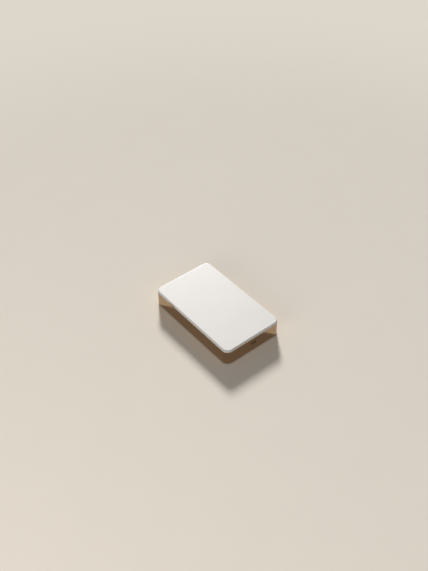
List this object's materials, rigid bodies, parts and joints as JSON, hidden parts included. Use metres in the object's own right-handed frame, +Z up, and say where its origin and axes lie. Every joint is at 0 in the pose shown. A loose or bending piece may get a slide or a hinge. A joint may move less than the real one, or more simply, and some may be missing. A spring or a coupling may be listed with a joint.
{
  "type": "compact photo printer",
  "caption": "Flat rounded pocket photo printer: polished band, hinged top cover over a paper well, geared rollers and a sprung thermal head inside.",
  "frame": {"origin": "centre of the surface that the printer stands on", "axes": "+X to the rear end with the socket and the cover's hinge, +Y to the right side, +Z up"},
  "size_m": [0.147, 0.088, 0.0235],
  "materials": {
    "white_shell": "satin",
    "polished_band": "polished",
    "dark_plastic": "matte",
    "foot_rubber": "matte",
    "dark_screw": "satin",
    "steel_pin": "satin",
    "sheet_steel": "satin",
    "bush_bronze": "satin",
    "roller_rubber": "matte",
    "gear_plastic": "satin",
    "pinion_brass": "satin",
    "motor_steel": "satin",
    "carrier_aluminium": "satin",
    "head_ceramic": "satin",
    "spring_steel": "satin",
    "board_green": "satin",
    "chip_black": "matte",
    "shell_steel": "satin",
    "lens_clear": "gloss",
    "cell_foil": "satin",
    "flex_film": "satin",
    "lead_jacket": "satin"
  },
  "bodies": {
    "printer": {"side_band": "polished_band", "base_cover": "dark_plastic", "rubber_feet": "foot_rubber", "base_screws": "dark_screw", "hinge_pins": "steel_pin", "status_lens": "lens_clear", "paper_tray": "dark_plastic", "left_side_plate": "sheet_steel", "right_side_plate": "sheet_steel", "shaft_bushes": "bush_bronze", "motor_body": "motor_steel", "motor_screws": "dark_screw", "head_springs": "spring_steel", "head_bridge": "sheet_steel", "exit_guide": "dark_plastic", "lower_guide": "dark_plastic", "main_board": "board_green", "board_parts": "chip_black", "rear_board": "board_green", "usb_shell": "shell_steel", "usb_tongue": "chip_black", "button_switch": "chip_black", "reset_switch": "chip_black", "battery": "cell_foil", "head_flex": "flex_film", "battery_leads": "lead_jacket", "motor_leads": "lead_jacket", "button_flex": "flex_film", "rear_flex": "flex_film"},
    "cover": {"top_cover": "white_shell", "plate_springs": "spring_steel"},
    "press_plate": {"pressure_plate": "dark_plastic"},
    "button": {"power_button": "polished_band"},
    "platen": {"platen_shaft": "steel_pin", "platen_rubber": "roller_rubber", "platen_gear": "gear_plastic"},
    "pickup": {"pickup_shaft": "steel_pin", "pickup_tyres": "roller_rubber", "pickup_gear": "gear_plastic"},
    "exit_roller": {"exit_shaft": "steel_pin", "exit_tyres": "roller_rubber", "exit_gear": "gear_plastic"},
    "pinch_roller": {"pinch_shaft": "steel_pin", "pinch_tyres": "roller_rubber"},
    "exit_idler": {"exit_idler": "gear_plastic"},
    "feed_idler": {"feed_idler": "gear_plastic"},
    "reduction": {"reduction_gear": "gear_plastic"},
    "rotor": {"motor_shaft": "steel_pin", "motor_pinion": "pinion_brass"},
    "head": {"head_carrier": "carrier_aluminium", "print_head": "head_ceramic"}
  },
  "joints": [
    {"name": "cover_hinge", "type": "hinge", "parent": "printer", "child": "cover", "pos_m": [0.0712, 0, 0.013], "axis": [0, 1, 0], "range_deg": [0, 85]},
    {"name": "plate_slide", "type": "slide", "parent": "cover", "child": "press_plate", "axis": [0, 0, 1], "range_m": [0, 0.003], "stiffness_N_per_m": 250, "springref_m": -0.004, "deforming": ["plate_springs"]},
    {"name": "button_press", "type": "slide", "parent": "printer", "child": "button", "axis": [0, -1, 0], "range_m": [0, 0.0003], "stiffness_N_per_m": 2500, "springref_m": -0.0003},
    {"name": "platen_spin", "type": "hinge", "parent": "printer", "child": "platen", "pos_m": [-0.052, 0, 0.0067], "axis": [0, 1, 0], "continuous": true},
    {"name": "pickup_spin", "type": "hinge", "parent": "printer", "child": "pickup", "pos_m": [-0.031, 0, 0.0072], "axis": [0, 1, 0], "continuous": true},
    {"name": "exit_spin", "type": "hinge", "parent": "printer", "child": "exit_roller", "pos_m": [-0.0655, 0, 0.0073], "axis": [0, 1, 0], "continuous": true},
    {"name": "exit_idler_spin", "type": "hinge", "parent": "printer", "child": "exit_idler", "pos_m": [-0.05919, 0, 0.00625], "axis": [0, 1, 0], "continuous": true},
    {"name": "feed_idler_spin", "type": "hinge", "parent": "printer", "child": "feed_idler", "pos_m": [-0.04137, 0, 0.01022], "axis": [0, 1, 0], "continuous": true},
    {"name": "reduction_spin", "type": "hinge", "parent": "printer", "child": "reduction", "pos_m": [-0.0552, 0, 0.01224], "axis": [0, 1, 0], "continuous": true},
    {"name": "rotor_spin", "type": "hinge", "parent": "printer", "child": "rotor", "pos_m": [-0.06233, 0, 0.01587], "axis": [0, 1, 0], "continuous": true},
    {"name": "pinch_spin", "type": "hinge", "parent": "printer", "child": "pinch_roller", "pos_m": [-0.0655, 0, 0.0125], "axis": [0, 1, 0], "continuous": true},
    {"name": "head_lift", "type": "hinge", "parent": "printer", "child": "head", "pos_m": [-0.044, 0, 0.0127], "axis": [0, 1, 0], "range_deg": [0, 3], "stiffness_Nm_per_rad": 0.4, "springref_deg": -8.59, "deforming": ["head_springs"]}
  ],
  "couplings": [
    {"joint": "reduction_spin", "follows": "platen_spin", "ratio": -1.6667},
    {"joint": "rotor_spin", "follows": "platen_spin", "ratio": 5},
    {"joint": "exit_idler_spin", "follows": "platen_spin", "ratio": -1.25},
    {"joint": "exit_spin", "follows": "platen_spin", "ratio": 1.25},
    {"joint": "feed_idler_spin", "follows": "platen_spin", "ratio": -0.55556},
    {"joint": "pickup_spin", "follows": "platen_spin", "ratio": 1.1111}
  ]
}
